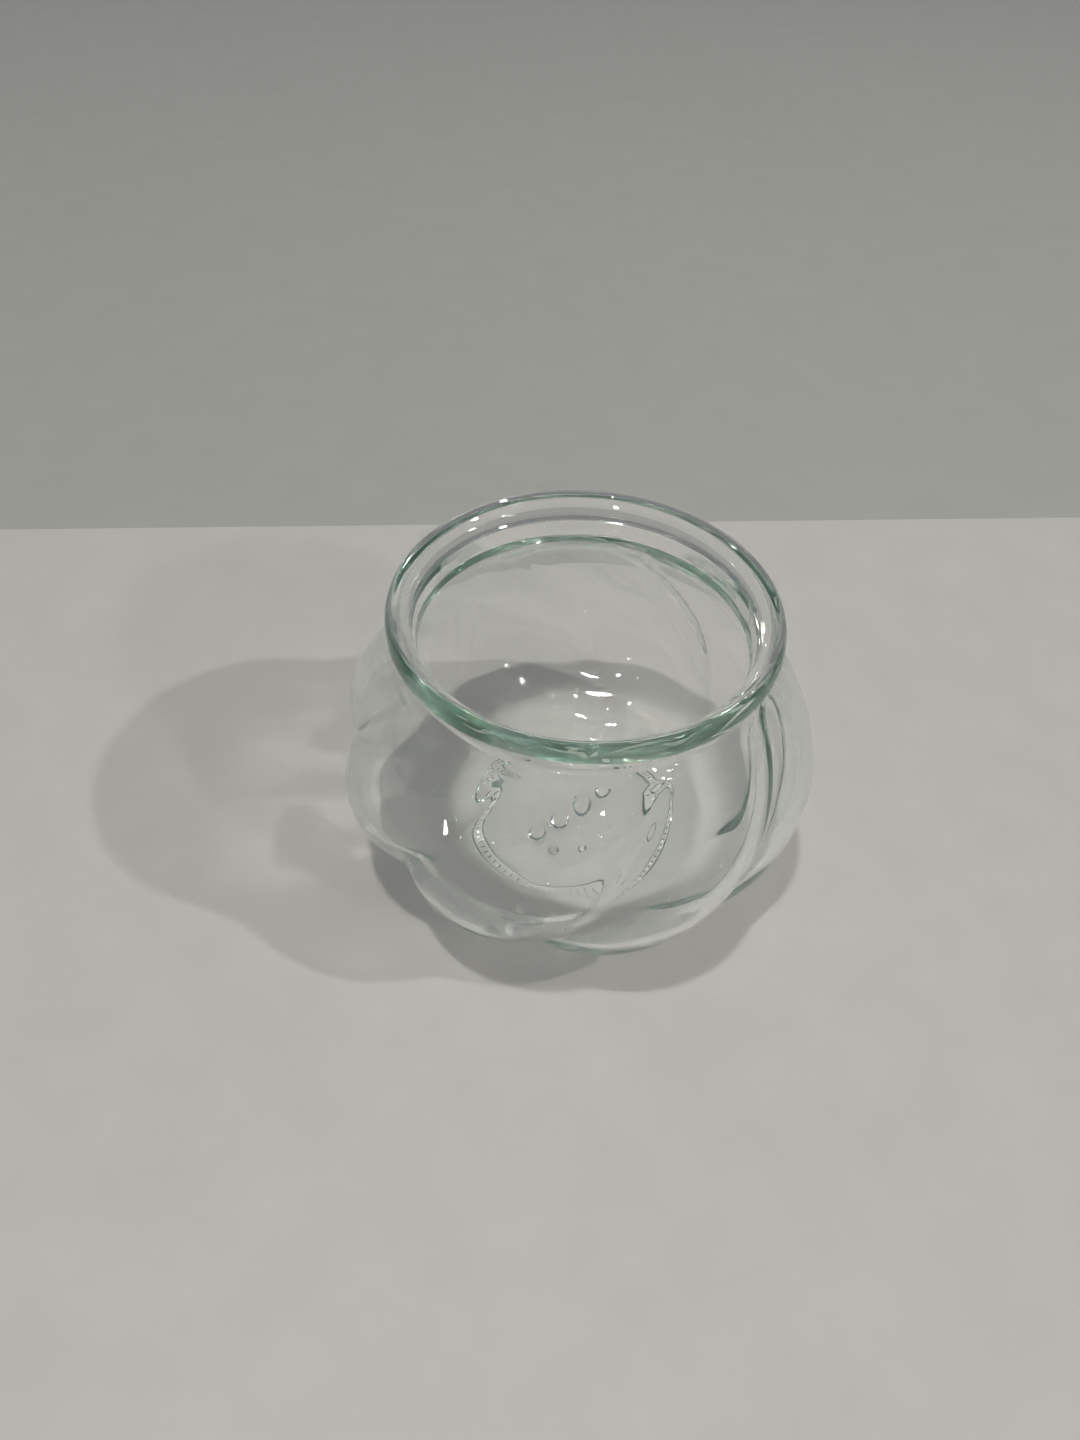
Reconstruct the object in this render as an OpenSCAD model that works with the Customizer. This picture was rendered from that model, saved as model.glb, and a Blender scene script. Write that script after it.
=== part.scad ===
// Empty candle jar: a squat round jar of clear glass with a swirled, lobed wall.
// Millimetres, +Z up. The origin is on the table, under the middle of the base.
// The jar is one casting, split here at its moulded features. The solids meet
// face to face: bead on neck, neck in shoulder, shoulder on bowl, base in bowl.

/* [Jar] */
// Height from the table to the crown of the bead
jar_h = 75.9; // [74.5:0.1:80]
// Widest diameter, over the crests of the lobes
belly_d = 115.6; // [112:0.2:120]
// Height of the widest place
belly_z = 35; // [32:0.5:38]

/* [Mouth] */
// Outer diameter of the rolled bead
bead_d = 88.4; // [86:0.2:90]
// Height of the rolled bead
bead_h = 6.9; // [6.5:0.1:8]
// Height of the bead's widest place and of its inner edge over its foot
edge_h = 3.4; // [3:0.1:4]
// How far the bead's crown slopes down to the inside: 0 is an even round
crown_lean = 0.6; // [0:0.05:0.7]
// Diameter of the edge where the bead's crown meets the bore
edge_d = 77.8; // [77:0.2:79]
// Diameter of the straight throat inside the neck
throat_d = 75; // [73:0.2:75.4]
// Outer diameter of the neck
neck_d = 82; // [81:0.2:84]
// Height of the neck that shows between bead and shoulder
neck_h = 5.8; // [4:0.2:7]

/* [Wall] */
// Thickness of the wall at the widest place
wall = 3.3; // [3:0.1:4]
// Thickness of the shoulder where it meets the neck
shoulder_t = 2.1; // [1.8:0.1:3]
// Fullness of the shoulder's curve outside: 1 is an ellipse, more is flatter
shoulder_form = 1.32; // [1.2:0.01:1.4]
// Fullness of the shoulder's curve inside
inner_shoulder_form = 1.38; // [1.25:0.01:1.45]
// Fullness of the bowl's curve outside: 1 is an ellipse, more is flatter
bowl_form = 1.04; // [1:0.01:1.2]
// Fullness of the bowl's curve inside: less is squarer
inner_bowl_form = 0.85; // [0.8:0.01:1]
// How far the outside of the shoulder climbs the neck in a soft turn
outer_climb = 1.7; // [0.5:0.1:2.5]
// Distance out from the neck over which that turn dies away
outer_reach = 1.4; // [1:0.1:2]
// How far the inside of the shoulder climbs towards the throat
inner_climb = 3.4; // [2:0.1:3.8]
// Distance out from the throat over which that turn dies away
inner_reach = 2.3; // [1.5:0.1:3]

/* [Swirl] */
// Number of lobes round the wall
lobes = 8; // [6:1:10]
// Depth of the grooves between lobes
groove_d = 4.1; // [1:0.1:4.5]
// Share of the groove's depth that shows inside the jar
inside_share = 0.95; // [0.75:0.05:1]
// How sharp the grooves are: 1 is a plain wave, more is rounder lobes
groove_form = 1.18; // [1:0.01:2]
// How round the foot of a groove is outside: 0 is sharp
outer_soft = 0.12; // [0:0.01:0.5]
// How round the foot of a groove is inside
inner_soft = 0.15; // [0:0.01:0.5]
// How soon the grooves reach full depth: less is sooner
groove_fade = 0.55; // [0.4:0.05:1.5]
// The same for the grooves inside, towards the floor
inner_foot_fade = 1.3; // [0.5:0.05:2]
// How far each crest leans away from the middle of its lobe, in lobe widths
crest_lean = 0.03; // [0:0.01:0.2]
// Turn of the grooves at the neck, in degrees from the -Y axis
swirl_start = 27; // [-45:0.1:45]
// Turn of the grooves from neck to table at the starting rate, in degrees
swirl_turn = -54; // [-60:1:60]
// How much of that turn is taken back towards the table, in degrees
swirl_ease = 10; // [-20:1:20]

/* [Base] */
// Outer diameter of the flat bearing ring
ring_d = 60; // [56:0.5:62]
// Inner diameter of the flat bearing ring
ring_inner_d = 53; // [52:0.5:55]
// Diameter of the raised middle of the underside
recess_d = 41; // [36:0.5:42]
// Height of the raised middle above the table
recess_h = 1.8; // [1.4:0.1:2.6]
// Height of the inside floor above the table
floor_z = 6; // [5.5:0.1:8]
// Radius of the flat part of the inside floor
floor_r = 24; // [18:0.5:26]

/* [Knurl] */
// Number of fine ridges on the ledge inside the bearing ring
ridges = 80; // [40:1:100]
// Width of a ridge
ridge_w = 0.8; // [0.4:0.1:1]
// Height of a ridge
ridge_h = 0.3; // [0.2:0.1:0.7]

/* [Dots] */
// Diameter of the large dots
dot_d = 5; // [3:0.1:5.4]
// Distance between neighbouring large dots
dot_pitch = 6.4; // [5.5:0.1:7]
// Number of large dots in the row
dot_count = 4; // [2:1:4]
// Diameter of the two small dots
small_dot_d = 2.4; // [1.5:0.1:3]
// How far the dots stand out
dot_h = 0.9; // [0.3:0.1:1]
// Turn of the row of dots from the X axis, in degrees
dot_turn = 29; // [0:1:40]
// Middle of the row of dots along X
row_x = 0.8; // [-2:0.1:2]
// Middle of the row of dots along Y
row_y = -3; // [-4:0.1:2]
// Place of the two small dots along Y
small_dot_y = -13; // [-14:0.1:-12]
// Distance between the two small dots
small_dot_gap = 8; // [5:0.1:9]

/* [Hidden] */
$fn = 128;
glass = [0.78, 0.87, 0.83, 0.45];
green_glass = [0.33, 0.52, 0.45, 0.7];

bead_r = bead_d / 2;
edge_r = edge_d / 2;
throat_r = throat_d / 2;
neck_r = neck_d / 2;
belly_r = belly_d / 2;
bead_z = jar_h - bead_h;
shoulder_z = bead_z - neck_h;
throat_z = shoulder_z - shoulder_t;
edge_z = bead_z + edge_h;
lead_in_h = 5.2;              // height of the cone from throat to edge
fit_gap = 0.03;               // a polygon's corners stay this far off a round face
ledge_z = ridge_h + 0.3;      // height of the ledge that carries the ridges
recess_edge_w = 3.1;          // width of the curve round the raised middle
ledge_r = recess_d / 2 + recess_edge_w;

heel_r = ring_d / 2 + 1;      // where bowl and base meet
heel_foot_r = ring_d / 2 - 2; // where the bowl's outer curve would touch the table
inner_belly_r = belly_r - wall;
columns = 12;                 // points across a lobe
turn_rows = 12;               // rows from neck to belly, outside
turn_crowding = 1.25;         // more than 1 sets these rows closer near the neck
inner_turn_rows = 10;
neck_rows = 6;                // rows under the neck, from throat to shoulder
crown_rows = 18;              // rows over the bead's crown
bowl_rows = 12;               // rows from belly to heel, outside
inner_bowl_rows = 9;

// Points along an ellipse arc, from angle a to angle b
function arc(c, rx, rz, a, b, n) =
    [for (i = [0:n]) let (t = a + (b - a) * i / n) [c.x + rx * cos(t), c.y + rz * sin(t)]];

// Share of the way down from the neck to the table
function drop(z) = (shoulder_z - z) / shoulder_z;

// Turn of the grooves at a height
function swirl(z) = swirl_start + swirl_turn * drop(z) + swirl_ease * pow(drop(z), 2);

// Depth of the grooves, which fade out at both ends of a stretch of wall
function fade(share, foot) = pow(max(0, sin(180 * share)), share > 0.5 ? foot : groove_fade);

// Height of the lobe's crest over its groove, 0 to 1, at a place across the lobe
function crest(t, soft) =
    let (c = 0.5 + crest_lean)
    let (w = t < c ? t / (2 * c) : 0.5 + (t - c) / (2 * (1 - c)))
    let (rise = (norm([sin(180 * w), soft]) - soft) / (norm([1, soft]) - soft))
    1 - pow(max(0, 1 - rise), groove_form);

// One closed row of points round the wall: radius, height, groove depth and roundness
function row(r, z, depth, soft) =
    [for (i = [0:lobes * columns - 1])
        let (t = i / columns)
        let (a = swirl(z) + t * 360 / lobes)
        let (q = r - depth * (1 - crest(t - floor(t), soft)))
        [q * sin(a), -q * cos(a), z]];

// Curve of the shoulder at sweep angle t: 0 at the neck, 90 at the belly. The turn
// climbs the neck and dies away outwards.
function shoulder_at(t, r0, z0, r1, form, climb, reach) =
    let (away = (r1 - r0) * pow(sin(t), form))
    [r0 + away, belly_z + (z0 - belly_z) * pow(cos(t), form) + climb * exp(-away / reach)];

// Curve of the bowl at sweep angle t: 0 at the belly, 90 at the foot
function bowl_at(t, r0, z0, r1, form) =
    [r0 + (r1 - r0) * pow(cos(t), form), belly_z - (belly_z - z0) * pow(sin(t), form)];

// The four curves of the wall
function outer_shoulder_at(t) =
    shoulder_at(t, neck_r, shoulder_z, belly_r, shoulder_form, outer_climb, outer_reach);
function inner_shoulder_at(t) =
    shoulder_at(t, throat_r, throat_z, inner_belly_r, inner_shoulder_form, inner_climb,
        inner_reach);
function outer_bowl_at(t) = bowl_at(t, heel_foot_r, 0, belly_r, bowl_form);
function inner_bowl_at(t) = bowl_at(t, floor_r, floor_z, inner_belly_r, inner_bowl_form);

// Sweep angle at which the inside of the shoulder passes the neck's outer face
neck_sweep =
    asin(pow((neck_r - throat_r) / (inner_belly_r - throat_r), 1 / inner_shoulder_form));
// Sweep angles at which the outside and the inside of the bowl pass the base's edge
heel_sweep = acos(pow((heel_r - heel_foot_r) / (belly_r - heel_foot_r), 1 / bowl_form));
floor_sweep = acos(pow((heel_r - floor_r) / (inner_belly_r - floor_r), 1 / inner_bowl_form));
heel_z = outer_bowl_at(heel_sweep).y;
floor_edge_z = inner_bowl_at(floor_sweep).y;

outer_top = [for (i = [0:turn_rows]) outer_shoulder_at(90 * pow(i / turn_rows, turn_crowding))];
inner_top = [for (i = [0:inner_turn_rows])
    inner_shoulder_at(neck_sweep + (90 - neck_sweep) * i / inner_turn_rows)];
outer_bowl = [for (i = [0:bowl_rows]) outer_bowl_at(heel_sweep * i / bowl_rows)];
inner_bowl = [for (i = [0:inner_bowl_rows]) inner_bowl_at(floor_sweep * i / inner_bowl_rows)];

// Rows made from a curve, with the grooves fading between heights z_top and z_foot
function rows(curve, share, soft, foot, z_top, z_foot) =
    [for (p = curve)
        row(p.x, p.y, share * groove_d * fade((z_top - p.y) / (z_top - z_foot), foot), soft)];
function outside(curve) = rows(curve, 1, outer_soft, groove_fade, shoulder_z, heel_z);
function inside(curve) =
    rows(curve, inside_share, inner_soft, inner_foot_fade, inner_top[0].y, floor_edge_z);

// The end rows stay just clear of the round faces they meet
function grown(points) =
    let (r = norm([points[0].x, points[0].y]))
    [for (p = points) [p.x * (r + fit_gap) / r, p.y * (r + fit_gap) / r, p.z]];
function flip(list) = [for (i = [len(list) - 1:-1:0]) list[i]];

// A closed ring of wall: the rows run down outside, come back up inside and join up
module wall_ring(loops) {
    m = len(loops);
    n = lobes * columns;
    at = function (i, j) (i % m) * n + j % n;
    faces = [for (i = [0:m - 1], j = [0:n - 1], half = [0, 1])
        half == 0
            ? [at(i, j), at(i, j + 1), at(i + 1, j + 1)]
            : [at(i, j), at(i + 1, j + 1), at(i + 1, j)]];
    polyhedron([for (loop = loops) each loop], faces, convexity = 6);
}

module rim_bead() {
    mid = [(bead_r + edge_r) / 2, edge_z];
    half_w = (bead_r - edge_r) / 2;
    bulge = [for (i = [0:crown_rows])
        let (t = 180 - 180 * i / crown_rows) [cos(t), sin(t) * (1 + crown_lean * cos(t))]];
    rise = (jar_h - edge_z) / max([for (p = bulge) p.y]);
    crown = [for (p = bulge) [mid.x + half_w * p.x, mid.y + rise * p.y]];
    foot_in = throat_r + (edge_r - throat_r) * (bead_z - edge_z + lead_in_h) / lead_in_h;
    color(green_glass)
        rotate_extrude()
            polygon(concat([[foot_in, bead_z]], crown, arc(mid, half_w, edge_h, -10, -90, 8)));
}

module neck() {
    lead_in_z = edge_z - lead_in_h;
    top_in = throat_r + (edge_r - throat_r) * (bead_z - lead_in_z) / lead_in_h;
    under = [for (i = [0:neck_rows - 1]) inner_shoulder_at(neck_sweep * i / neck_rows)];
    color(glass)
        rotate_extrude()
            polygon(concat(under, [[neck_r, inner_top[0].y], [neck_r, bead_z], [top_in, bead_z],
                [throat_r, lead_in_z]]));
}

module shoulder() {
    out = outside(outer_top);
    in = inside(inner_top);
    inner_rows = [for (i = [len(in) - 1:-1:1]) in[i]];
    outer_rows = [for (i = [1:len(out) - 1]) out[i]];
    color(glass)
        wall_ring(concat([grown(out[0])], outer_rows, inner_rows, [grown(in[0])]));
}

module bowl() {
    out = outside(outer_bowl);
    in = inside(inner_bowl);
    last_out = len(out) - 1;
    last_in = len(in) - 1;
    outer_rows = [for (i = [0:last_out - 1]) out[i]];
    inner_rows = [for (i = [last_in - 1:-1:0]) in[i]];
    color(glass)
        wall_ring(concat(outer_rows, [grown(out[last_out]), grown(in[last_in])], inner_rows));
}

module base() {
    step = recess_h - ledge_z;
    floor_curve = [for (i = [0:6]) inner_bowl_at(floor_sweep + (90 - floor_sweep) * i / 6)];
    color(glass)
        rotate_extrude()
            polygon(concat(
                [[0, floor_z], [0, recess_h]],
                arc([recess_d / 2, ledge_z], ledge_r - recess_d / 2, step, 90, 0, 6),
                [[ring_inner_d / 2 - 0.3, ledge_z], [ring_inner_d / 2, 0],
                    [ring_d / 2, 0], [heel_r, heel_z]],
                floor_curve));
}

module bearing_knurl() {
    inner_r = ledge_r + 0.3;
    outer_r = ring_inner_d / 2 - 0.6;
    color(glass)
        for (i = [0:ridges - 1])
            rotate([0, 0, 360 * i / ridges])
                translate([inner_r, -ridge_w / 2, ledge_z - ridge_h])
                    cube([outer_r - inner_r, ridge_w, ridge_h]);
}

module base_dots() {
    color(glass)
        translate([row_x, 0, recess_h - dot_h]) {
            translate([0, row_y, 0])
                rotate([0, 0, dot_turn])
                    for (i = [0:dot_count - 1])
                        translate([(i - (dot_count - 1) / 2) * dot_pitch, 0, 0])
                            cylinder(d = dot_d, h = dot_h, $fn = 48);
            for (side = [-1, 1])
                translate([side * small_dot_gap / 2, small_dot_y, 0])
                    cylinder(d = small_dot_d, h = dot_h, $fn = 48);
        }
}

rim_bead();
neck();
shoulder();
bowl();
base();
bearing_knurl();
base_dots();
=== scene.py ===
"""An empty candle jar of clear, faintly green glass with a swirled, eight-lobed wall.

The jar is one casting, so its glass is one closed skin here: the outline of the wall is spun
round the axis, then the swirled grooves, the knurl and the dots are pressed into it. It stands
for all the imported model's solids. Metres, +Z up, origin on the table under the jar's middle.
"""

import logging
import math
from dataclasses import dataclass, field
from enum import Enum

import bmesh
import bpy
from mathutils import Matrix, Vector, noise


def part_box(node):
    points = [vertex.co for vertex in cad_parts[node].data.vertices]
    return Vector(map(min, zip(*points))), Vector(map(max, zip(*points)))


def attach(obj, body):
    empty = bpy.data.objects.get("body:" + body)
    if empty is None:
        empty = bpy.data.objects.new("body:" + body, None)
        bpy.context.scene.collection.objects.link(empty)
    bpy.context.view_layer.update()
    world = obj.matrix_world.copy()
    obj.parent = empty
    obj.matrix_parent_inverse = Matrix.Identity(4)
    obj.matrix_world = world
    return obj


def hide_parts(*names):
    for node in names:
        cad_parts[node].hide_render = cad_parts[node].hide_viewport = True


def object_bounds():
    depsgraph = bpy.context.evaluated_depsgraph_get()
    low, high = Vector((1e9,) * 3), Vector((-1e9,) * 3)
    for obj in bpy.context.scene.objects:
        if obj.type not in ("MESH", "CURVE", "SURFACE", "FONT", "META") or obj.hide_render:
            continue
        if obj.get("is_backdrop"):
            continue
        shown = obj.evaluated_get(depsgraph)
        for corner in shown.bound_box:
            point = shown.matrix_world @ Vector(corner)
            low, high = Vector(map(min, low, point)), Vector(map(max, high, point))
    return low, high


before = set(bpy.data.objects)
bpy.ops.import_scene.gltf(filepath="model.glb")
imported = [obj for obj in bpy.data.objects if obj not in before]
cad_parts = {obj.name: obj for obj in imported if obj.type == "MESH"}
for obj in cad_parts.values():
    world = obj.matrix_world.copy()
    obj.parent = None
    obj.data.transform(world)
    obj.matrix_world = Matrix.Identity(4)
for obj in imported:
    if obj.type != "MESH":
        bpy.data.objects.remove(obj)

LOG = logging.getLogger("candle_jar")
ROOT_BODY = "root"
JAR_NODES = ("rim_bead", "neck", "shoulder", "bowl", "base", "bearing_knurl", "base_dots")
WHITE = (1.0, 1.0, 1.0, 1.0)
# Points nearer to each other than this count as one.
MERGE_GAP = 1e-6
# How far the wall's outside climbs the neck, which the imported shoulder's box takes in.
OUTER_CLIMB = 0.0017
QUARTER_TURN = math.pi / 2


class Skin(Enum):
    """The two sides of the wall."""

    OUTSIDE = "outside"
    INSIDE = "inside"


@dataclass(frozen=True)
class Station:
    """A point of the spun outline, with the pressing done there.

    groove and soft are the grooves' depth and roundness, ridge is the knurl's height, wave is
    the height of the glass's slow unevenness, and outside is 1 where the mould's seam may run.
    """

    radius: float
    height: float
    groove: float = 0.0
    soft: float = 0.0
    ridge: float = 0.0
    wave: float = 0.0
    outside: float = 0.0


@dataclass(frozen=True)
class Flare:
    """The soft turn between the neck and the shoulder: its climb up the neck and its reach outwards."""

    climb: float
    reach: float

    def lift(self, away: float) -> float:
        """Height that the turn adds at a distance out from the neck's face."""
        return self.climb * math.exp(-away / self.reach)


@dataclass
class Swirl:
    """The turning grooves that part the wall's lobes."""

    top: float
    lobes: int = 8
    depth: float = 0.0041
    inside_share: float = 0.95
    form: float = 1.18
    fade_power: float = 0.55
    inner_foot_fade: float = 1.3
    crest_lean: float = 0.03
    outer_soft: float = 0.12
    inner_soft: float = 0.15
    start: float = math.radians(27)
    turn: float = math.radians(-54)
    ease: float = math.radians(10)

    def angle(self, height: float) -> float:
        """Turn of the grooves at a height, from the -Y axis towards +X.

        Args:
            height: Height above the table.

        Returns:
            The angle in radians.
        """
        drop = min(1.0, max(0.0, (self.top - height) / self.top))
        return self.start + self.turn * drop + self.ease * drop ** 2

    def fade(self, skin: Skin, share: float) -> float:
        """Depth of the grooves at a share of the way along a stretch of wall.

        Args:
            skin: The side of the wall.
            share: How far along the stretch the place is, 0 at its top and 1 at its foot.

        Returns:
            The depth, 0 to 1.
        """
        near_floor = skin is Skin.INSIDE and share > 0.5
        power = self.inner_foot_fade if near_floor else self.fade_power
        return max(0.0, math.sin(math.pi * min(1.0, max(0.0, share)))) ** power

    def crest(self, across: float, soft: float) -> float:
        """Height of the lobe over its groove, 0 to 1.

        Args:
            across: Place across the lobe, 0 at one groove and 1 at the next.
            soft: How round the foot of the groove is, 0 for a sharp one.

        Returns:
            The lobe's height as a share of the groove's depth.
        """
        middle = 0.5 + self.crest_lean
        if across < middle:
            place = across / (2 * middle)
        else:
            place = 0.5 + (across - middle) / (2 * (1 - middle))
        rise = (math.hypot(math.sin(math.pi * place), soft) - soft) / (math.hypot(1.0, soft) - soft)
        return 1 - max(0.0, 1 - rise) ** self.form

    def groove_depth(self, skin: Skin, share: float) -> float:
        """Depth of the grooves in metres on one side of the wall."""
        part = 1.0 if skin is Skin.OUTSIDE else self.inside_share
        return part * self.depth * self.fade(skin, share)


@dataclass
class JarSizes:
    """The jar's main sizes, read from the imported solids."""

    height: float
    bead_r: float
    bead_z: float
    neck_r: float
    shoulder_z: float
    belly_z: float
    heel_r: float
    ledge_z: float
    ridge_z: float
    recess_z: float
    dot_z: float

    @classmethod
    def from_frame(cls) -> "JarSizes":
        """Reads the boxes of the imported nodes.

        Returns:
            The sizes, in metres.
        """
        bead_low, bead_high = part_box("rim_bead")
        neck_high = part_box("neck")[1]
        shoulder_low, shoulder_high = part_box("shoulder")
        knurl_low, knurl_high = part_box("bearing_knurl")
        dots_low, dots_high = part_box("base_dots")
        return cls(
            height=bead_high.z,
            bead_r=bead_high.x,
            bead_z=bead_low.z,
            neck_r=neck_high.x,
            shoulder_z=shoulder_high.z - OUTER_CLIMB,
            belly_z=shoulder_low.z,
            heel_r=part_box("base")[1].x,
            ledge_z=knurl_high.z,
            ridge_z=knurl_low.z,
            recess_z=dots_high.z,
            dot_z=dots_low.z,
        )


@dataclass
class Outline:
    """Half of the jar's section, from the middle of the underside round to the middle of the floor.

    knurl_steps are radii with the ridges' share of their full height. ring_steps are distances
    inside the bearing ring with the share of the ledge's height left there, and each ring turn
    is a distance across the ring's edge with the height there. The shares of the lead-in and
    the throat say where their rows lie.
    """

    sizes: JarSizes
    swirl: Swirl
    belly_r: float = 0.0578
    wall: float = 0.0033
    shoulder_wall: float = 0.0021
    outer_flare: Flare = Flare(climb=OUTER_CLIMB, reach=0.0014)
    inner_flare: Flare = Flare(climb=0.0034, reach=0.0023)
    shoulder_form: float = 1.32
    bowl_form: float = 1.04
    inner_bowl_form: float = 0.85
    inner_shoulder_form: float = 1.38
    edge_r: float = 0.0389
    edge_h: float = 0.0034
    crown_lean: float = 0.6
    throat_r: float = 0.0375
    lead_in: float = 0.0052
    foot_r: float = 0.028
    floor_r: float = 0.024
    floor_z: float = 0.006
    recess_r: float = 0.0205
    ledge_r: float = 0.0236
    ring_inner_r: float = 0.0265
    ring_outer_r: float = 0.030
    seam_end: float = math.radians(60)
    outer_wave: float = 0.00008
    inner_wave: float = 0.0003
    wave_onset: float = 4.0
    knurl_steps: tuple[tuple[float, float], ...] = (
        (0.02375, 0.0), (0.0241, 0.8), (0.0245, 1.0), (0.0253, 1.0), (0.0257, 0.8), (0.026, 0.0))
    ring_steps: tuple[tuple[float, float], ...] = ((0.0002, 0.55), (0.00005, 0.18))
    ring_inner_turn: tuple[float, float] = (0.0002, 0.00002)
    ring_outer_turn: tuple[float, float] = (0.0003, 0.00006)
    ring_edge: float = 0.0006
    neck_foot_gap: float = 0.0005
    neck_top_gaps: tuple[float, ...] = (0.0016, 0.0003)
    bead_start_deg: float = -84.0
    bead_turn_deg: float = 264.0
    lead_in_shares: tuple[float, ...] = (0.06, 0.25, 0.5, 0.75, 0.94)
    throat_shares: tuple[float, ...] = (0.06, 0.5, 0.94)
    recess_rows: int = 6
    heel_rows: int = 6
    middle_rows: int = 56
    bowl_rows: int = 38
    shoulder_rows: int = 32
    bead_rows: int = 34
    inner_shoulder_rows: int = 28
    inner_bowl_rows: int = 30
    floor_rows: int = 8

    def shoulder_at(self, sweep: float, r0: float, z0: float, r1: float,
                    form: float, flare: Flare) -> tuple[float, float]:
        """Point of a shoulder curve.

        Args:
            sweep: Place along the curve, 0 at the neck and a quarter turn at the belly.
            r0: Radius at the neck.
            z0: Height at the neck, before the flare.
            r1: Radius at the belly.
            form: Exponent of the curve, 1 for an ellipse.
            flare: The soft turn at the neck.

        Returns:
            The point's radius and height.
        """
        belly_z = self.sizes.belly_z
        radius = r0 + (r1 - r0) * math.sin(sweep) ** form
        height = belly_z + (z0 - belly_z) * max(0.0, math.cos(sweep)) ** form
        return radius, height + flare.lift(radius - r0)

    def bowl_at(self, sweep: float, r0: float, z0: float, r1: float,
                form: float) -> tuple[float, float]:
        """Point of a bowl curve.

        Args:
            sweep: Place along the curve, 0 at the belly and a quarter turn at the foot.
            r0: Radius at the foot.
            z0: Height at the foot.
            r1: Radius at the belly.
            form: Exponent of the curve, 1 for an ellipse.

        Returns:
            The point's radius and height.
        """
        belly_z = self.sizes.belly_z
        radius = r0 + (r1 - r0) * max(0.0, math.cos(sweep)) ** form
        return radius, belly_z - (belly_z - z0) * math.sin(sweep) ** form

    def underside(self) -> list[Station]:
        """The raised middle, the ledge that carries the knurl and the bearing ring.

        Returns:
            The stations from the axis out to the heel.
        """
        recess_z, ledge_z = self.sizes.recess_z, self.sizes.ledge_z
        points = [Station(self.recess_r * i / self.middle_rows, recess_z)
                  for i in range(self.middle_rows)]
        for i in range(self.recess_rows + 1):
            turn = QUARTER_TURN * (1 - i / self.recess_rows)
            points.append(Station(
                self.recess_r + (self.ledge_r - self.recess_r) * math.cos(turn),
                ledge_z + (recess_z - ledge_z) * math.sin(turn)))
        ridge = ledge_z - self.sizes.ridge_z
        for radius, share in self.knurl_steps:
            points.append(Station(radius, ledge_z, ridge=ridge * share))
        for inside, share in self.ring_steps:
            points.append(Station(self.ring_inner_r - inside, ledge_z * share))
        points.append(Station(self.ring_inner_r + self.ring_inner_turn[0], self.ring_inner_turn[1]))
        for radius in (self.ring_inner_r + self.ring_edge,
                       (self.ring_inner_r + self.ring_outer_r) / 2,
                       self.ring_outer_r - self.ring_edge):
            points.append(Station(radius, 0.0))
        points.append(Station(self.ring_outer_r + self.ring_outer_turn[0], self.ring_outer_turn[1]))
        return points

    def outer_wall(self) -> list[Station]:
        """The bowl and the shoulder outside, from the heel up to the neck.

        Returns:
            The stations, with the outside's grooves.
        """
        sizes = self.sizes
        heel_share = (sizes.heel_r - self.foot_r) / (self.belly_r - self.foot_r)
        heel = math.acos(heel_share ** (1 / self.bowl_form))
        heel_z = self.bowl_at(heel, self.foot_r, 0.0, self.belly_r, self.bowl_form)[1]
        curve = [self.bowl_at(heel * (1 - i / self.bowl_rows), self.foot_r, 0.0, self.belly_r,
                              self.bowl_form)
                 for i in range(self.bowl_rows)]
        curve += [self.shoulder_at(QUARTER_TURN * (1 - i / self.shoulder_rows), sizes.neck_r,
                                   sizes.shoulder_z, self.belly_r, self.shoulder_form,
                                   self.outer_flare)
                  for i in range(self.shoulder_rows + 1)]
        span = sizes.shoulder_z - heel_z
        return [Station(r, z, self.swirl.groove_depth(Skin.OUTSIDE, (sizes.shoulder_z - z) / span),
                        self.swirl.outer_soft, wave=self.outer_wave, outside=1.0)
                for r, z in curve]

    def mouth(self) -> list[Station]:
        """The neck outside, the rolled bead over the top and the throat inside.

        Returns:
            The stations, which carry no grooves.
        """
        sizes = self.sizes
        half_w = (sizes.bead_r - self.edge_r) / 2
        middle_r = self.edge_r + half_w
        middle_z = sizes.bead_z + self.edge_h
        turns = [math.radians(self.bead_start_deg + self.bead_turn_deg * i / self.bead_rows)
                 for i in range(self.bead_rows + 1)]
        bulge = [math.sin(turn) * (1 + self.crown_lean * math.cos(turn)) for turn in turns]
        rise = (sizes.height - middle_z) / max(bulge)
        heights = [sizes.shoulder_z + self.outer_flare.climb + self.neck_foot_gap]
        heights += [sizes.bead_z - gap for gap in self.neck_top_gaps]
        points = [Station(sizes.neck_r, height, outside=1.0) for height in heights]
        for turn, out in zip(turns, bulge):
            up = rise * out if turn > 0 else self.edge_h * math.sin(turn)
            points.append(Station(middle_r + half_w * math.cos(turn), middle_z + up,
                                  outside=1.0 if turn < self.seam_end else 0.0))
        for share in self.lead_in_shares:
            points.append(Station(self.edge_r + (self.throat_r - self.edge_r) * share,
                                  middle_z - self.lead_in * share))
        throat_foot = sizes.shoulder_z - self.shoulder_wall + self.inner_flare.climb
        top = middle_z - self.lead_in
        for share in self.throat_shares:
            points.append(Station(self.throat_r, top + (throat_foot - top) * share))
        return points

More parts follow.
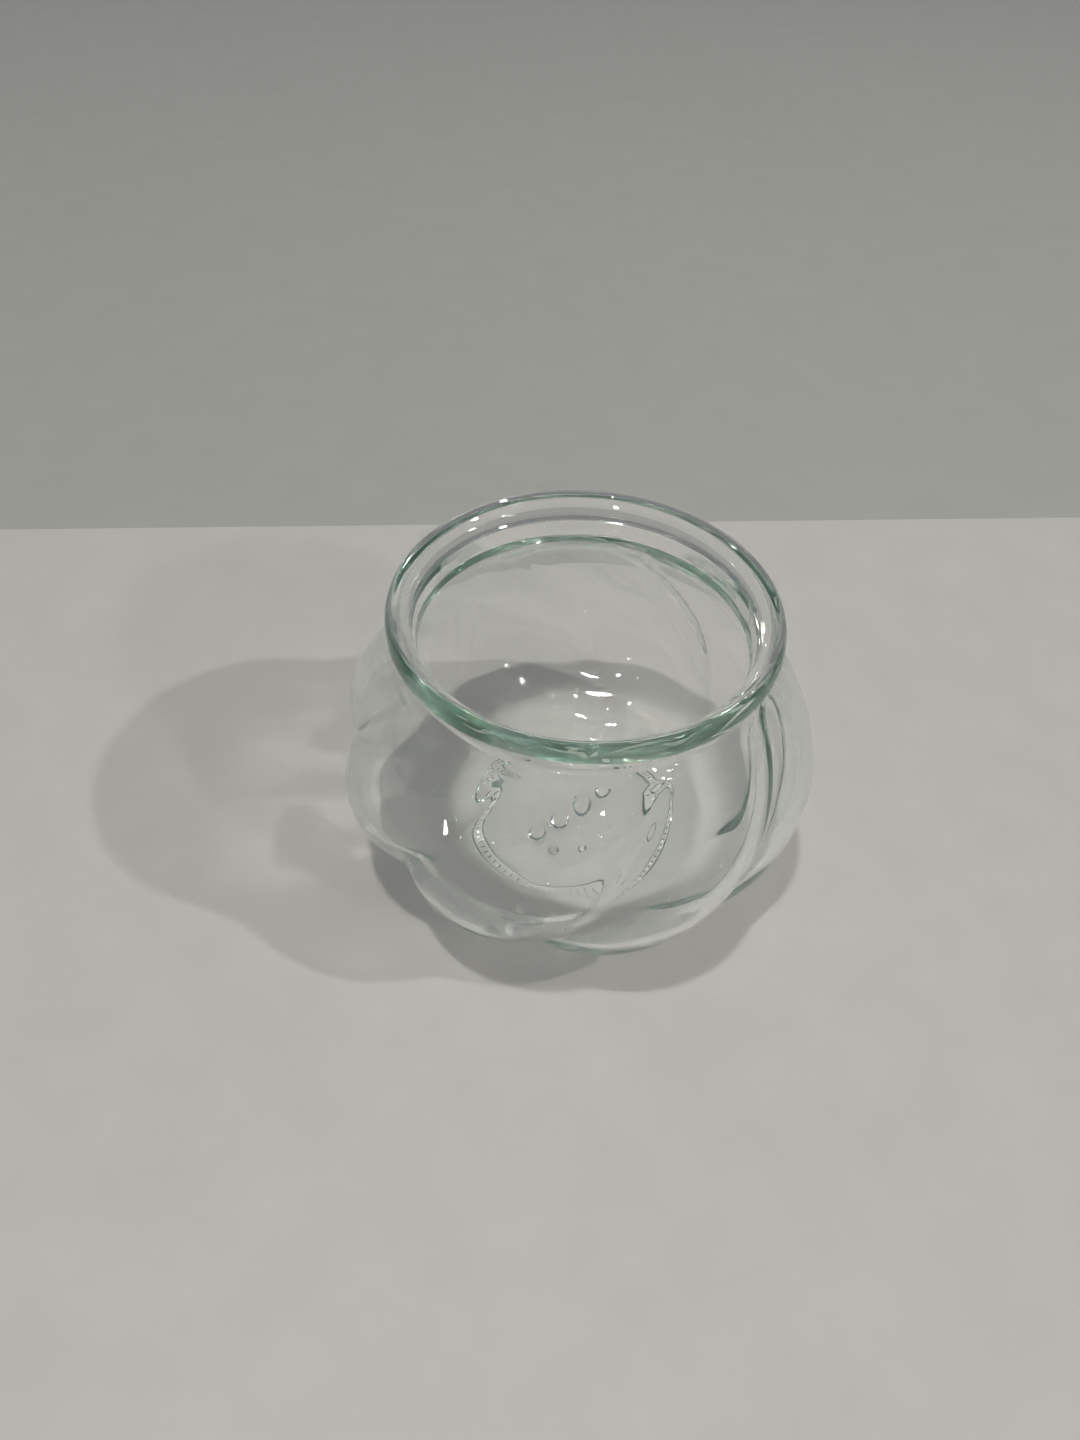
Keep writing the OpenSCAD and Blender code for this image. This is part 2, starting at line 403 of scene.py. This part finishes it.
    def inner_wall(self) -> list[Station]:
        """The shoulder and the bowl inside, from the throat down to the middle of the floor.

        Returns:
            The stations, with the inside's grooves.
        """
        sizes = self.sizes
        inner_r = self.belly_r - self.wall
        throat_z = sizes.shoulder_z - self.shoulder_wall
        curve = [self.shoulder_at(QUARTER_TURN * i / self.inner_shoulder_rows, self.throat_r,
                                  throat_z, inner_r, self.inner_shoulder_form,
                                  self.inner_flare)
                 for i in range(self.inner_shoulder_rows)]
        last = math.acos(((sizes.heel_r - self.floor_r) / (inner_r - self.floor_r))
                         ** (1 / self.inner_bowl_form))
        curve += [self.bowl_at(last * i / self.inner_bowl_rows, self.floor_r, self.floor_z, inner_r,
                               self.inner_bowl_form)
                  for i in range(self.inner_bowl_rows + 1)]
        neck = math.asin(((sizes.neck_r - self.throat_r) / (inner_r - self.throat_r))
                         ** (1 / self.inner_shoulder_form))
        top_z = self.shoulder_at(neck, self.throat_r, throat_z, inner_r, self.inner_shoulder_form,
                                 self.inner_flare)[1]
        span = top_z - curve[-1][1]
        stations = [Station(r, z, self.swirl.groove_depth(Skin.INSIDE, (top_z - z) / span),
                            self.swirl.inner_soft,
                            wave=self.inner_wave * min(1.0, max(0.0, self.wave_onset
                                                                * (top_z - z) / span)))
                    for r, z in curve]
        for i in range(1, self.heel_rows + 1):
            sweep = last + (QUARTER_TURN - last) * i / self.heel_rows
            stations.append(Station(*self.bowl_at(sweep, self.floor_r, self.floor_z, inner_r,
                                                  self.inner_bowl_form)))
        stations += [Station(self.floor_r * (1 - i / self.floor_rows), self.floor_z)
                     for i in range(1, self.floor_rows + 1)]
        return stations

    def stations(self) -> list[Station]:
        """The whole outline, in order."""
        return self.underside() + self.outer_wall() + self.mouth() + self.inner_wall()


@dataclass(frozen=True)
class Tint:
    """The colour that thick glass takes."""

    colour: tuple[float, float, float, float] = (0.08, 0.44, 0.27, 1.0)
    density: float = 6.5


@dataclass(frozen=True)
class PressedGlass:
    """Clear pressed glass: fire-polished, a little uneven, green where it is thick."""

    tint: Tint = Tint()
    index: float = 1.52
    roughness: float = 0.0
    ripple_scale: float = 70.0
    ripple_detail: float = 1.0
    ripple_strength: float = 1.0
    ripple_height: float = 0.00012

    def material(self) -> bpy.types.Material:
        """Makes the material.

        Returns:
            The glass with its surface detail and its tint.
        """
        made = bpy.data.materials.new("pressed_glass")
        made.use_nodes = True
        nodes, links = made.node_tree.nodes, made.node_tree.links
        shader = nodes["Principled BSDF"]
        shader.inputs["Base Color"].default_value = WHITE
        shader.inputs["Transmission Weight"].default_value = 1.0
        shader.inputs["IOR"].default_value = self.index
        shader.inputs["Roughness"].default_value = self.roughness
        place = nodes.new("ShaderNodeTexCoord")
        ripple = nodes.new("ShaderNodeTexNoise")
        ripple.inputs["Scale"].default_value = self.ripple_scale
        ripple.inputs["Detail"].default_value = self.ripple_detail
        bump = nodes.new("ShaderNodeBump")
        bump.inputs["Strength"].default_value = self.ripple_strength
        bump.inputs["Distance"].default_value = self.ripple_height
        links.new(place.outputs["Object"], ripple.inputs["Vector"])
        links.new(ripple.outputs["Fac"], bump.inputs["Height"])
        links.new(bump.outputs["Normal"], shader.inputs["Normal"])
        tint = nodes.new("ShaderNodeVolumeAbsorption")
        tint.inputs["Color"].default_value = self.tint.colour
        tint.inputs["Density"].default_value = self.tint.density
        links.new(tint.outputs["Volume"], nodes["Material Output"].inputs["Volume"])
        return made


@dataclass(frozen=True)
class Seam:
    """The fine ridge that the mould's parting plane leaves on the outside.

    turn is the angle of the plane's normal from the X axis.
    """

    turn: float = math.radians(36)
    width: float = 0.0008
    height: float = 0.00003


@dataclass(frozen=True)
class Dots:
    """The raised dots under the base: a row of large ones and two small ones."""

    height: float
    large_r: float = 0.0025
    pitch: float = 0.0064
    count: int = 4
    turn: float = math.radians(29)
    row_x: float = 0.0008
    row_y: float = -0.003
    small_r: float = 0.0012
    small_y: float = -0.013
    small_gap: float = 0.008
    slope_share: float = 0.3

    def places(self) -> list[tuple[float, float, float]]:
        """Each dot's place and size.

        Returns:
            The dots as x, y and radius.
        """
        spots = []
        for i in range(self.count):
            along = (i - (self.count - 1) / 2) * self.pitch
            spots.append((self.row_x + along * math.cos(self.turn),
                          self.row_y + along * math.sin(self.turn), self.large_r))
        for side in (-1, 1):
            spots.append((self.row_x + side * self.small_gap / 2, self.small_y, self.small_r))
        return spots

    def drop(self, x: float, y: float) -> float:
        """How far the underside is pushed down at a place.

        Args:
            x: The place's x.
            y: The place's y.

        Returns:
            The dot's height there, or 0 away from the dots.
        """
        for dot_x, dot_y, radius in self.places():
            share = math.hypot(x - dot_x, y - dot_y) / radius
            if share < 1:
                return self.height * min(1.0, (1 - share) / self.slope_share)
        return 0.0


@dataclass
class GlassBody:
    """The jar's glass: one closed skin, spun and then pressed."""

    outline: Outline
    swirl: Swirl
    dots: Dots
    packed_box: tuple[Vector, Vector]
    seam: Seam = Seam()
    finish: PressedGlass = field(default_factory=PressedGlass)
    columns: int = 320
    ridges: int = 80
    ridge_form: float = 0.7
    recess_margin: float = 0.001
    wave_scale: float = 75.0
    smooth_angle: float = math.radians(35)
    press_layers: tuple[str, ...] = ("groove", "soft", "ridge", "wave", "outside")

    def spin_outline(self) -> bpy.types.Object:
        """Draws the outline as a chain and spins it round the jar's axis.

        Returns:
            A plain body of revolution, with the pressing of each point kept in layers.
        """
        stations = self.outline.stations()
        bpy.ops.object.select_all(action="DESELECT")
        bpy.ops.mesh.primitive_circle_add(vertices=len(stations), radius=self.outline.belly_r)
        body = bpy.context.object
        body.name = "jar_glass"
        body.data.name = "jar_glass"
        bpy.ops.object.mode_set(mode="EDIT")
        shape = bmesh.from_edit_mesh(body.data)
        shape.verts.ensure_lookup_table()
        layers = {name: shape.verts.layers.float.new(name) for name in self.press_layers}
        closing = shape.edges.get((shape.verts[0], shape.verts[-1]))
        for point, station in zip(shape.verts, stations):
            point.co = (0.0, -station.radius, station.height)
            for name, layer in layers.items():
                point[layer] = getattr(station, name)
            point.select_set(True)
        shape.edges.remove(closing)
        bmesh.update_edit_mesh(body.data)
        bpy.ops.mesh.select_all(action="SELECT")
        bpy.ops.mesh.spin(steps=self.columns, angle=2 * math.pi, center=(0, 0, 0), axis=(0, 0, 1))
        bpy.ops.mesh.select_all(action="SELECT")
        bpy.ops.mesh.remove_doubles(threshold=MERGE_GAP)
        bpy.ops.mesh.normals_make_consistent(inside=False)
        bpy.ops.object.mode_set(mode="OBJECT")
        return body

    def pressed(self, point: Vector, station: Station) -> Vector:
        """Where a point of the spun body goes as the mould presses it.

        Args:
            point: The point on the plain body.
            station: The pressing done at the point's row.

        Returns:
            The point turned with the swirl, moved in at the grooves and down at ridges and dots.
        """
        radius = math.hypot(point.x, point.y)
        if radius < MERGE_GAP:
            return point.copy()
        around = math.atan2(point.x, -point.y)
        across = (around * self.swirl.lobes / (2 * math.pi)) % 1.0
        radius -= station.groove * (1 - self.swirl.crest(across, station.soft))
        height = point.z - station.ridge * max(0.0, math.cos(self.ridges * around)) ** self.ridge_form
        around += self.swirl.angle(point.z)
        moved = Vector((radius * math.sin(around), -radius * math.cos(around), height))
        uneven = station.wave * noise.noise(moved * self.wave_scale)
        moved.x += uneven * math.sin(around)
        moved.y -= uneven * math.cos(around)
        low = point.z < self.outline.sizes.recess_z + MERGE_GAP
        if low and radius < self.outline.recess_r - self.recess_margin:
            moved.z -= self.dots.drop(moved.x, moved.y)
        return moved

    def press(self, body: bpy.types.Object) -> None:
        """Presses the grooves, the knurl, the dots and the slow unevenness into the spun body.

        Args:
            body: The plain body, with its layers.
        """
        rows = [body.data.attributes[name].data for name in self.press_layers]
        for vertex, *values in zip(body.data.vertices, *rows):
            pressing = {name: value.value for name, value in zip(self.press_layers, values)}
            vertex.co = self.pressed(vertex.co, Station(0.0, 0.0, **pressing))

    def raise_seam(self, body: bpy.types.Object) -> None:
        """Cuts a narrow band over the outside at the mould's parting plane and lifts its middle.

        Args:
            body: The pressed body.
        """
        across = Vector((math.cos(self.seam.turn), math.sin(self.seam.turn), 0))
        bpy.ops.object.mode_set(mode="EDIT")
        bpy.ops.mesh.select_mode(type="FACE")
        for offset in (-self.seam.width / 2, 0.0, self.seam.width / 2):
            bpy.ops.mesh.select_all(action="DESELECT")
            shape = bmesh.from_edit_mesh(body.data)
            outside = shape.verts.layers.float["outside"]
            for face in shape.faces:
                face.select_set(self.seam_crosses(face, outside))
            bmesh.update_edit_mesh(body.data)
            bpy.ops.mesh.bisect(plane_co=across * offset, plane_no=across)
        shape = bmesh.from_edit_mesh(body.data)
        shape.normal_update()
        outside = shape.verts.layers.float["outside"]
        ridge = [(point, point.normal.copy()) for point in shape.verts
                 if abs(point.co.dot(across)) < MERGE_GAP and point[outside] > 0.5
                 and any(self.seam_crosses(face, outside) for face in point.link_faces)]
        for point, out in ridge:
            point.co += out * self.seam.height
        bmesh.update_edit_mesh(body.data)
        bpy.ops.object.mode_set(mode="OBJECT")

    def seam_crosses(self, face: bmesh.types.BMFace, outside: bmesh.types.BMLayerItem) -> bool:
        """Whether the seam may show on a face: all the left side outside, the right only above.

        Args:
            face: The face.
            outside: The layer that says where the seam may run.

        Returns:
            True where it may.
        """
        middle = face.calc_center_median()
        shows = middle.x < 0 or middle.z > self.outline.sizes.bead_z
        return shows and all(corner[outside] > 0.5 for corner in face.verts)

    def fit(self, body: bpy.types.Object) -> None:
        """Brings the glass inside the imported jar's box, which the unevenness may have left.

        Args:
            body: The finished shape.
        """
        low, high = self.packed_box
        for axis in range(3):
            reach = max(abs(point.co[axis]) for point in body.data.vertices)
            grow = min(1.0, max(abs(low[axis]), abs(high[axis])) / reach)
            for point in body.data.vertices:
                point.co[axis] *= grow

    def build(self) -> bpy.types.Object:
        """Models the glass and dresses it.

        Returns:
            The finished piece.
        """
        body = self.spin_outline()
        self.press(body)
        self.raise_seam(body)
        for name in self.press_layers:
            body.data.attributes.remove(body.data.attributes[name])
        self.fit(body)
        body.data.materials.append(self.finish.material())
        bpy.ops.object.shade_smooth_by_angle(angle=self.smooth_angle)
        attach(body, ROOT_BODY)
        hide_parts(*JAR_NODES)
        body.cycles.is_caustics_caster = True
        return body


@dataclass(frozen=True)
class SheetFinish:
    """Matt, pale board with a faint mottle."""

    name: str
    light: tuple[float, float, float, float]
    dark: tuple[float, float, float, float]
    roughness: float = 0.6
    mottle_scale: float = 55.0
    mottle_detail: float = 4.0

    def material(self) -> bpy.types.Material:
        """Makes the material.

        Returns:
            The board's material.
        """
        made = bpy.data.materials.new(self.name)
        made.use_nodes = True
        nodes, links = made.node_tree.nodes, made.node_tree.links
        shader = nodes["Principled BSDF"]
        shader.inputs["Roughness"].default_value = self.roughness
        place = nodes.new("ShaderNodeTexCoord")
        mottle = nodes.new("ShaderNodeTexNoise")
        mottle.inputs["Scale"].default_value = self.mottle_scale
        mottle.inputs["Detail"].default_value = self.mottle_detail
        ramp = nodes.new("ShaderNodeValToRGB")
        ramp.color_ramp.elements[0].color = self.dark
        ramp.color_ramp.elements[1].color = self.light
        links.new(place.outputs["Object"], mottle.inputs["Vector"])
        links.new(mottle.outputs["Fac"], ramp.inputs["Fac"])
        links.new(ramp.outputs["Color"], shader.inputs["Base Color"])
        return made


@dataclass
class Table:
    """The pale board under the jar, on a wide grey ground."""

    board_edge_y: float = 0.135
    edge_turn: float = math.radians(5.4)
    gap: float = 0.0002
    ground_drop: float = 0.001
    reach: float = 3.0

    def flat(self, name: str, low_y: float, high_y: float, z: float,
             finish: SheetFinish) -> bpy.types.Object:
        """Lays one flat rectangle.

        Args:
            name: The sheet's name.
            low_y: Its near edge, before the turn.
            high_y: Its far edge, before the turn.
            z: Its height.
            finish: What it is made of.

        Returns:
            The sheet.
        """
        bpy.ops.object.select_all(action="DESELECT")
        bpy.ops.mesh.primitive_plane_add(size=2.0)
        sheet = bpy.context.object
        sheet.name = name
        turn = Matrix.Rotation(self.edge_turn, 4, "Z")
        middle_y = (low_y + high_y) / 2
        grow = Matrix.Diagonal((self.reach, (high_y - low_y) / 2, 1.0, 1.0))
        sheet.data.transform(turn @ Matrix.Translation((0, middle_y, z)) @ grow)
        sheet.data.materials.append(finish.material())
        sheet.cycles.is_caustics_receiver = True
        sheet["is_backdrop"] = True
        return sheet

    def lay(self) -> None:
        """Lays the board and the ground."""
        board = SheetFinish("pale_board", (0.62, 0.62, 0.59, 1), (0.55, 0.55, 0.53, 1))
        ground = SheetFinish("grey_ground", (0.45, 0.46, 0.44, 1), (0.41, 0.42, 0.40, 1))
        self.flat("board", -self.reach, self.board_edge_y, -self.gap, board)
        self.flat("ground", -self.reach, self.reach, -self.ground_drop, ground)


class Reach(Enum):
    """What a lamp's light does at the glass.

    BLOCKED leaves a plain shadow, FOCUSED is bent by the glass, THROUGH passes as if the glass
    were not there, and GLINT shows only in reflections and through the glass.
    """

    BLOCKED = "blocked"
    FOCUSED = "focused"
    THROUGH = "through"
    GLINT = "glint"


@dataclass(frozen=True)
class Lamp:
    """A round lamp that looks at the jar."""

    name: str
    towards: tuple[float, float, float]
    distance: float
    diameter: float
    watts: float
    reach: Reach = Reach.BLOCKED
    colour: tuple[float, float, float] = (1.0, 0.97, 0.93)

    def hang(self, aim: Vector, glass: bpy.types.Object) -> bpy.types.Object:
        """Hangs the lamp.

        Args:
            aim: The point that it shines at.
            glass: The piece that its light meets.

        Returns:
            The lamp's object.
        """
        light = bpy.data.lights.new(self.name, "AREA")
        light.shape = "DISK"
        light.size = self.diameter
        light.energy = self.watts
        light.color = self.colour
        light.cycles.is_caustics_light = self.reach is Reach.FOCUSED
        lamp = bpy.data.objects.new(self.name, light)
        bpy.context.scene.collection.objects.link(lamp)
        towards = Vector(self.towards).normalized()
        lamp.location = aim + towards * self.distance
        lamp.rotation_euler = (-towards).to_track_quat("-Z", "Y").to_euler()
        lamp.visible_diffuse = self.reach is not Reach.GLINT
        lamp.visible_glossy = self.reach in (Reach.GLINT, Reach.FOCUSED)
        lamp.visible_transmission = self.reach in (Reach.GLINT, Reach.FOCUSED)
        if self.reach is Reach.THROUGH:
            self.pass_through(lamp, glass)
        return lamp

    def pass_through(self, lamp: bpy.types.Object, glass: bpy.types.Object) -> None:
        """Lets the lamp's light through the glass without a shadow.

        Args:
            lamp: The lamp.
            glass: The piece that it passes.
        """
        passed = bpy.data.collections.new(self.name + "_passes")
        passed.objects.link(glass)
        passed.collection_objects[0].light_linking.link_state = "EXCLUDE"
        lamp.light_linking.blocker_collection = passed


@dataclass(frozen=True)
class Lighting:
    """The lamps round the jar."""

    overhead: tuple[float, float, float] = (-0.11, -0.15, 1.0)
    right: tuple[float, float, float] = (1.1, -0.17, 1.0)
    front_right: tuple[float, float, float] = (1.26, -0.97, 1.0)
    left: tuple[float, float, float] = (-0.9, 0.35, 1.0)
    back: tuple[float, float, float] = (0.25, 1.0, 1.0)
    front: tuple[float, float, float] = (-0.35, -1.1, 1.3)
    near: float = 2.2
    far: float = 2.5

    def lamps(self) -> list[Lamp]:
        """The lamps, in the order in which they are hung.

        Returns:
            Each lamp with its direction, distance, diameter and watts.
        """
        return [
            Lamp("overhead_lamp", self.overhead, self.near, 0.12, 12.0),
            Lamp("overhead_fill", self.overhead, self.near, 0.12, 4.7, Reach.THROUGH),
            Lamp("overhead_glint", self.overhead, self.near, 0.14, 34.0, Reach.GLINT),
            Lamp("right_lamp", self.right, self.far, 0.06, 13.0, Reach.FOCUSED),
            Lamp("right_glint", self.right, self.far, 0.16, 9.0, Reach.GLINT),
            Lamp("front_right_lamp", self.front_right, self.far, 0.12, 6.0),
            Lamp("front_right_glint", self.front_right, self.far, 0.16, 9.0, Reach.GLINT),
            Lamp("left_glint", self.left, self.far, 0.12, 4.0, Reach.GLINT),
            Lamp("back_glint", self.back, self.far, 0.12, 4.0, Reach.GLINT),
            Lamp("front_glint", self.front, self.far, 0.12, 4.0, Reach.GLINT),
        ]

    def hang(self, aim: Vector, glass: bpy.types.Object) -> None:
        """Hangs every lamp.

        Args:
            aim: The point that they shine at.
            glass: The piece that their light meets.
        """
        for lamp in self.lamps():
            lamp.hang(aim, glass)


@dataclass
class Room:
    """The soft light all round: dim near the horizon, brighter overhead."""

    horizon: float = 0.16
    middle: float = 0.2
    zenith: float = 0.24

    def light(self) -> None:
        """Sets the world's light."""
        scene = bpy.context.scene
        world = bpy.data.worlds.new("room")
        scene.world = world
        world.use_nodes = True
        nodes, links = world.node_tree.nodes, world.node_tree.links
        place = nodes.new("ShaderNodeTexCoord")
        split = nodes.new("ShaderNodeSeparateXYZ")
        ramp = nodes.new("ShaderNodeValToRGB")
        stops = ramp.color_ramp.elements
        stops[0].position = 0.0
        stops[0].color = (self.horizon, self.horizon, self.horizon, 1)
        stops[1].position = 1.0
        stops[1].color = (self.zenith, self.zenith, self.zenith, 1)
        between = stops.new(0.5)
        between.color = (self.middle, self.middle, self.middle, 1)
        links.new(place.outputs["Generated"], split.inputs["Vector"])
        links.new(split.outputs["Z"], ramp.inputs["Fac"])
        links.new(ramp.outputs["Color"], nodes["Background"].inputs["Color"])


@dataclass
class Viewpoint:
    """The camera: in front of the jar, looking down into its mouth. Its lens is in millimetres."""

    aside: float = -0.00899
    back: float = 0.18396
    height: float = 0.22765
    pitch: float = math.radians(45.87)
    roll: float = math.radians(2.56)
    lens: float = 27.05
    sensor: float = 36.0
    clip: tuple[float, float] = (0.01, 20.0)

    def set_up(self) -> bpy.types.Object:
        """Makes the camera and gives it to the scene.

        Returns:
            The camera.
        """
        camera = bpy.data.objects.new("camera", bpy.data.cameras.new("camera"))
        bpy.context.scene.collection.objects.link(camera)
        camera.data.lens = self.lens
        camera.data.sensor_width = self.sensor
        camera.data.clip_start, camera.data.clip_end = self.clip
        ahead = Vector((0, math.cos(self.pitch), -math.sin(self.pitch)))
        right = Vector((1, 0, 0))
        up = right.cross(ahead)
        across = math.cos(self.roll) * right + math.sin(self.roll) * up
        above = -math.sin(self.roll) * right + math.cos(self.roll) * up
        turn = Matrix((across, above, -ahead)).transposed().to_4x4()
        camera.matrix_world = Matrix.Translation((self.aside, -self.back, self.height)) @ turn
        bpy.context.scene.camera = camera
        return camera


@dataclass(frozen=True)
class Rendering:
    """How far light is followed and how it is shown.

    The rim's dark band is made of very long paths in the glass, so many bounces are followed.
    """

    bounces: int = 96
    clamp: float = 0.0
    view_transform: str = "Standard"

    def apply(self) -> None:
        """Gives the settings to the scene."""
        scene = bpy.context.scene
        scene.view_settings.view_transform = self.view_transform
        scene.cycles.max_bounces = self.bounces
        scene.cycles.transmission_bounces = self.bounces
        scene.cycles.glossy_bounces = self.bounces
        scene.cycles.sample_clamp_indirect = self.clamp


def main() -> None:
    """Builds the jar, then the table, the light and the camera, and logs each piece."""
    logging.basicConfig(level=logging.INFO)
    packed_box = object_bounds()
    sizes = JarSizes.from_frame()
    swirl = Swirl(top=sizes.shoulder_z)
    dots = Dots(height=sizes.recess_z - sizes.dot_z)
    glass = GlassBody(Outline(sizes, swirl), swirl, dots, packed_box).build()
    LOG.info("%s: %d faces", glass.name, len(glass.data.polygons))
    Table().lay()
    Room().light()
    Lighting().hang(Vector((0, 0, sizes.belly_z)), glass)
    Viewpoint().set_up()
    Rendering().apply()


if __name__ == "__main__":
    main()
